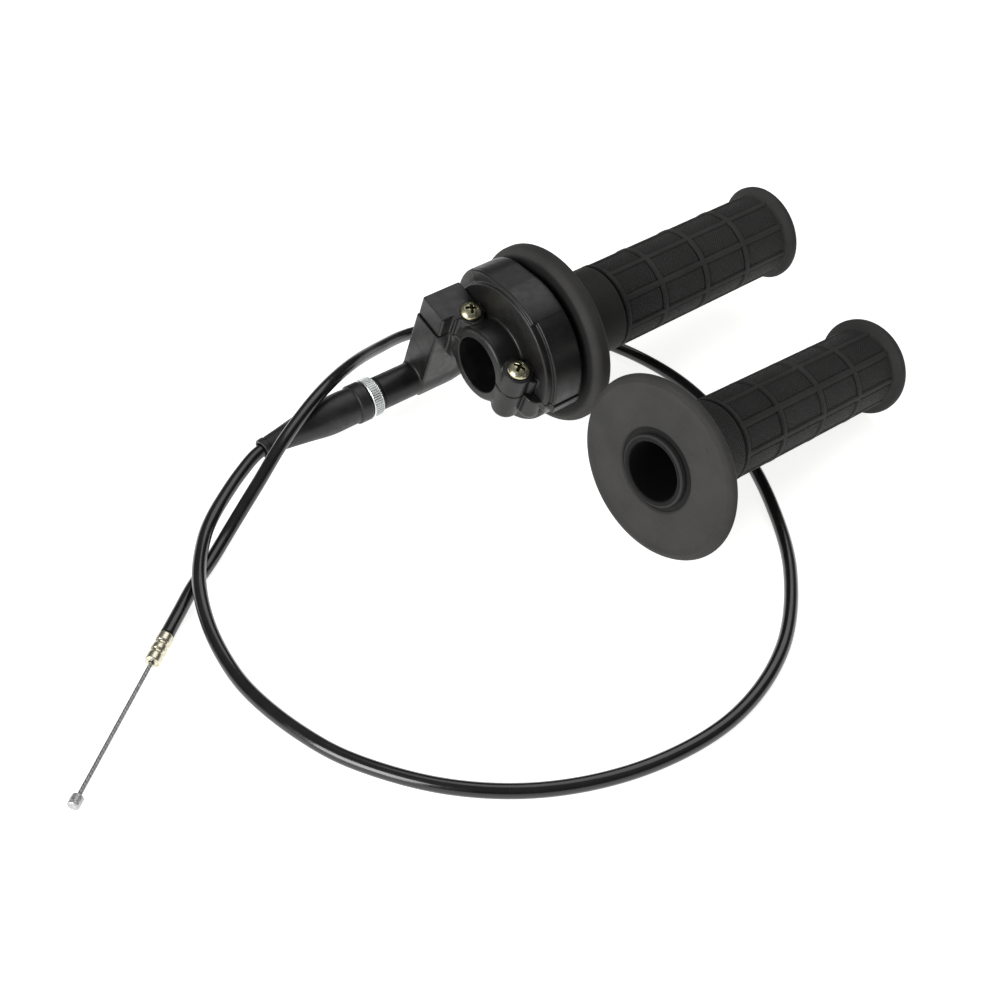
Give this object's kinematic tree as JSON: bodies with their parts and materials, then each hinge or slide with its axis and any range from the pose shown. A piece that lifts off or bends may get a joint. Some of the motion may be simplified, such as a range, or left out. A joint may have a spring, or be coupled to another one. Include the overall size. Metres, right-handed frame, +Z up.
{
  "type": "throttle grip",
  "caption": "Twist throttle for a 22 mm handlebar with split clamp housing, waffle rubber grip, adjustable cable with bare wire end, and the matching left grip.",
  "frame": {"origin": "centre of the bottom of the box around the housing and both grips, on the surface that the set lies on", "axes": "+X along the handlebar axis towards the closed ends of the grips, +Z up"},
  "size_m": [0.3622, 0.2362, 0.0724],
  "materials": {
    "black_plastic": "semi-gloss moulded black nylon with fine grain",
    "grip_rubber": "matt dark grey rubber with moulded waffle ribs and fine crosshatch",
    "boot_rubber": "satin black rubber",
    "dark_nylon": "satin moulded nylon",
    "white_nylon": "matt white nylon",
    "cable_pvc": "glossy black PVC sheath",
    "yellow_zinc": "yellow zinc plated steel, slightly iridescent",
    "white_zinc": "bright white zinc plated steel with fine straight knurl",
    "brass": "pale nickel-brass, crimped",
    "steel_wire": "stranded galvanised steel wire",
    "cast_zinc": "dull cast zinc"
  },
  "bodies": {
    "housing": {"housing_upper": "black_plastic", "housing_lower": "black_plastic", "clamp_screw_front": "yellow_zinc", "clamp_screw_rear": "yellow_zinc", "thread_insert_front": "brass", "thread_insert_rear": "brass", "thrust_washer": "white_nylon", "lead_wire": "steel_wire", "cable_guide": "white_zinc", "seal_ring": "boot_rubber", "adjuster_sleeve": "white_zinc", "cable_cap": "brass", "cable_boot": "boot_rubber", "cable_outer": "cable_pvc", "end_ferrule": "brass"},
    "throttle": {"throttle_tube": "dark_nylon", "throttle_grip": "grip_rubber", "drum_nipple": "cast_zinc", "drum_wire": "steel_wire"},
    "lock_nut": {"lock_nut": "white_zinc"},
    "carb_end": {"carb_wire": "steel_wire", "carb_nipple": "cast_zinc"},
    "left_grip": {"left_grip": "grip_rubber"}
  },
  "joints": [
    {"name": "throttle_twist", "type": "hinge", "parent": "housing", "child": "throttle", "pos_m": [-0.0052, 0.0399, 0.0365], "axis": [1, 0, 0], "range_deg": [0, 70]},
    {"name": "carb_wire_pull", "type": "slide", "parent": "housing", "child": "carb_end", "axis": [0.7848, 0.6198, 0], "range_m": [0, 0.028]},
    {"name": "lock_nut_turn", "type": "hinge", "parent": "housing", "child": "lock_nut", "pos_m": [-0.0652, 0.07222, 0.01538], "axis": [1, 0, 0], "continuous": true},
    {"name": "left_grip_lift", "type": "slide", "parent": "housing", "child": "left_grip", "axis": [0, 0, 1], "range_m": [0, 0.08]}
  ],
  "couplings": [
    {"joint": "carb_wire_pull", "follows": "throttle_twist", "m_per_rad": 0.0226}
  ]
}
